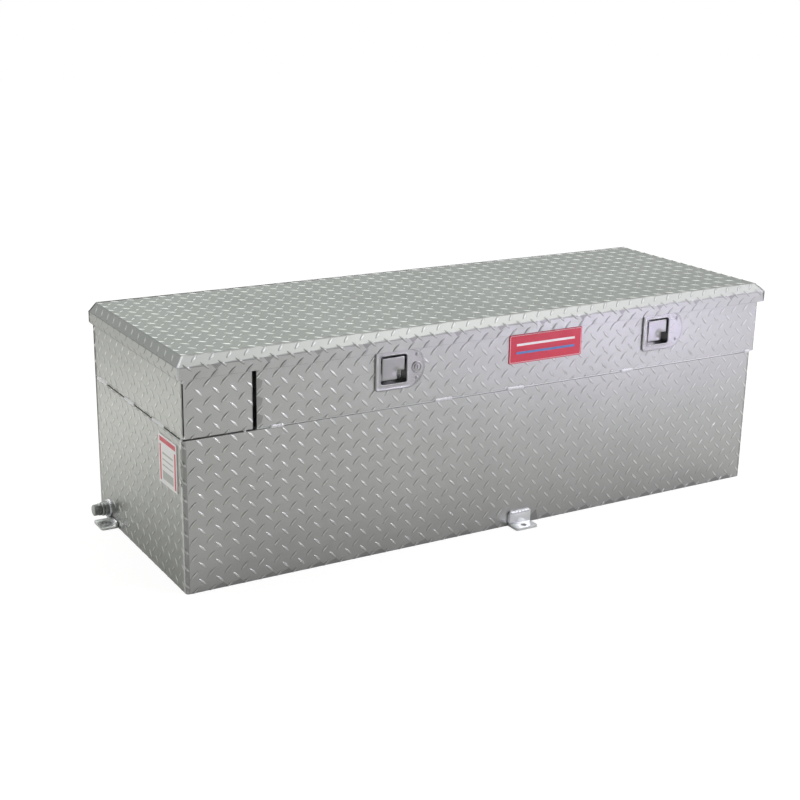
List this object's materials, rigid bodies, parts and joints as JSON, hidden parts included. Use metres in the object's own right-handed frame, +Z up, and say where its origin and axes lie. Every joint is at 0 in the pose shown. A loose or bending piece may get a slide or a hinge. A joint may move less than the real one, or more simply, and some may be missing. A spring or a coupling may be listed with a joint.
{
  "type": "truck tool box with fuel tank",
  "caption": "Long tread-plate truck-bed box: a closed fuel tank below, a pump bay and a lidded tool tub above, rear full-length hinge, recessed paddle latches and mounting tabs.",
  "frame": {"origin": "middle of the tank's flat underside", "axes": "+X along the box towards the tub's right end, -Y towards the latch side, +Z up"},
  "size_m": [1.575, 0.56, 0.499],
  "materials": {
    "tread_plate": "mill-finish tread plate, dull with bright rubbed lugs",
    "plain_alloy": "mill-finish plain sheet",
    "weld": "rippled weld metal",
    "stainless": "fine-brushed stainless steel",
    "zinc": "dull zinc plate",
    "chrome_rod": "polished chrome",
    "brass": "machined brass",
    "strut_paint": "satin black paint",
    "rubber": "matt black rubber",
    "cap_plastic": "moulded black plastic",
    "badge_red": "satin printed vinyl, red",
    "label_white": "printed vinyl, pale with red bars"
  },
  "bodies": {
    "box": {"tank_front": "tread_plate", "tank_rear": "tread_plate", "tank_left_end": "tread_plate", "tank_right_end": "tread_plate", "tank_floor": "plain_alloy", "tank_top": "plain_alloy", "baffle_left": "plain_alloy", "baffle_right": "plain_alloy", "corner_welds": "weld", "filler_neck": "zinc", "vent_valve": "brass", "outlet_boss": "zinc", "outlet_nipple": "zinc", "tab_front": "plain_alloy", "tab_left": "plain_alloy", "tab_right": "plain_alloy", "bay_front_panel": "tread_plate", "bay_left_panel": "tread_plate", "box_rear_wall": "tread_plate", "tub_front_wall": "tread_plate", "tub_left_wall": "tread_plate", "tub_right_wall": "tread_plate", "tub_floor": "plain_alloy", "seam_welds": "weld", "tub_seal": "rubber", "hinge_body_leaf": "stainless", "hinge_pin": "stainless", "strut_body_studs": "zinc", "latch_left_pan": "stainless", "latch_left_housing": "zinc", "latch_right_pan": "stainless", "latch_right_housing": "zinc", "paddle_pins": "stainless", "paddle_springs": "zinc", "latch_gaskets": "rubber", "latch_rivets": "stainless", "key_barrel": "stainless", "badge": "badge_red", "label": "label_white"},
    "lid": {"lid_shell": "tread_plate", "lid_stiffeners": "plain_alloy", "hinge_lid_leaf": "stainless", "strut_lid_studs": "zinc", "lid_strikers": "zinc"},
    "filler_cap": {"filler_cap": "cap_plastic", "filler_cap_gasket": "rubber"},
    "outlet_cap": {"outlet_cap": "zinc"},
    "key_plug": {"key_plug": "stainless"},
    "strut_left_tube": {"strut_left_tube": "strut_paint"},
    "strut_left_rod": {"strut_left_rod": "chrome_rod"},
    "latch_left_paddle": {"latch_left_paddle": "stainless"},
    "latch_left_hook": {"latch_left_hook": "zinc"},
    "latch_left_trip": {"latch_left_trip": "zinc"},
    "strut_right_tube": {"strut_right_tube": "strut_paint"},
    "strut_right_rod": {"strut_right_rod": "chrome_rod"},
    "latch_right_paddle": {"latch_right_paddle": "stainless"},
    "latch_right_hook": {"latch_right_hook": "zinc"},
    "latch_right_trip": {"latch_right_trip": "zinc"}
  },
  "joints": [
    {"name": "lid_hinge", "type": "hinge", "parent": "box", "child": "lid", "pos_m": [0.0035, 0.2615, 0.454], "axis": [-1, 0, 0], "range_deg": [0, 70], "stiffness_Nm_per_rad": 10, "springref_deg": 108.86},
    {"name": "strut_left_lower_pivot", "type": "hinge", "parent": "box", "child": "strut_left_tube", "pos_m": [-0.5655, 0.20109, 0.34457], "axis": [-1, 0, 0], "range_deg": [0, 35]},
    {"name": "strut_left_upper_pivot", "type": "hinge", "parent": "lid", "child": "strut_left_rod", "pos_m": [-0.5655, 0.14016, 0.48403], "axis": [-1, 0, 0], "range_deg": [-35, 0]},
    {"name": "strut_right_lower_pivot", "type": "hinge", "parent": "box", "child": "strut_right_tube", "pos_m": [0.734, 0.20109, 0.34457], "axis": [-1, 0, 0], "range_deg": [0, 35]},
    {"name": "strut_right_upper_pivot", "type": "hinge", "parent": "lid", "child": "strut_right_rod", "pos_m": [0.734, 0.14016, 0.48403], "axis": [-1, 0, 0], "range_deg": [-35, 0]},
    {"name": "paddle_left_pull", "type": "hinge", "parent": "box", "child": "latch_left_paddle", "pos_m": [-0.27375, -0.2515, 0.436], "axis": [-1, 0, 0], "range_deg": [0, 30], "stiffness_Nm_per_rad": 0.3, "springref_deg": -17.19},
    {"name": "trip_left_slide", "type": "slide", "parent": "box", "child": "latch_left_trip", "axis": [0, 0, -1], "range_m": [0, 0.0126]},
    {"name": "hook_left_turn", "type": "hinge", "parent": "box", "child": "latch_left_hook", "pos_m": [-0.28175, -0.222, 0.44], "axis": [0, -1, 0], "range_deg": [0, 60], "stiffness_Nm_per_rad": 0.05, "springref_deg": -22.92},
    {"name": "paddle_right_pull", "type": "hinge", "parent": "box", "child": "latch_right_paddle", "pos_m": [0.44225, -0.2515, 0.436], "axis": [-1, 0, 0], "range_deg": [0, 30], "stiffness_Nm_per_rad": 0.3, "springref_deg": -17.19},
    {"name": "trip_right_slide", "type": "slide", "parent": "box", "child": "latch_right_trip", "axis": [0, 0, -1], "range_m": [0, 0.0126]},
    {"name": "hook_right_turn", "type": "hinge", "parent": "box", "child": "latch_right_hook", "pos_m": [0.43425, -0.222, 0.44], "axis": [0, -1, 0], "range_deg": [0, 60], "stiffness_Nm_per_rad": 0.05, "springref_deg": -22.92},
    {"name": "key_turn", "type": "hinge", "parent": "box", "child": "key_plug", "pos_m": [-0.21775, -0.25, 0.413], "axis": [0, -1, 0], "range_deg": [0, 90]},
    {"name": "filler_cap_lift", "type": "slide", "parent": "box", "child": "filler_cap", "axis": [0, 0, 1], "range_m": [0, 0.06]},
    {"name": "outlet_cap_off", "type": "slide", "parent": "box", "child": "outlet_cap", "axis": [-1, 0, 0], "range_m": [0, 0.03]}
  ],
  "couplings": [
    {"joint": "strut_left_lower_pivot", "follows": "lid_hinge", "ratio": 0.5},
    {"joint": "strut_left_upper_pivot", "follows": "lid_hinge", "ratio": -0.5},
    {"joint": "strut_right_lower_pivot", "follows": "lid_hinge", "ratio": 0.5},
    {"joint": "strut_right_upper_pivot", "follows": "lid_hinge", "ratio": -0.5},
    {"joint": "trip_left_slide", "follows": "paddle_left_pull", "m_per_rad": 0.02387},
    {"joint": "trip_right_slide", "follows": "paddle_right_pull", "m_per_rad": 0.02387}
  ]
}
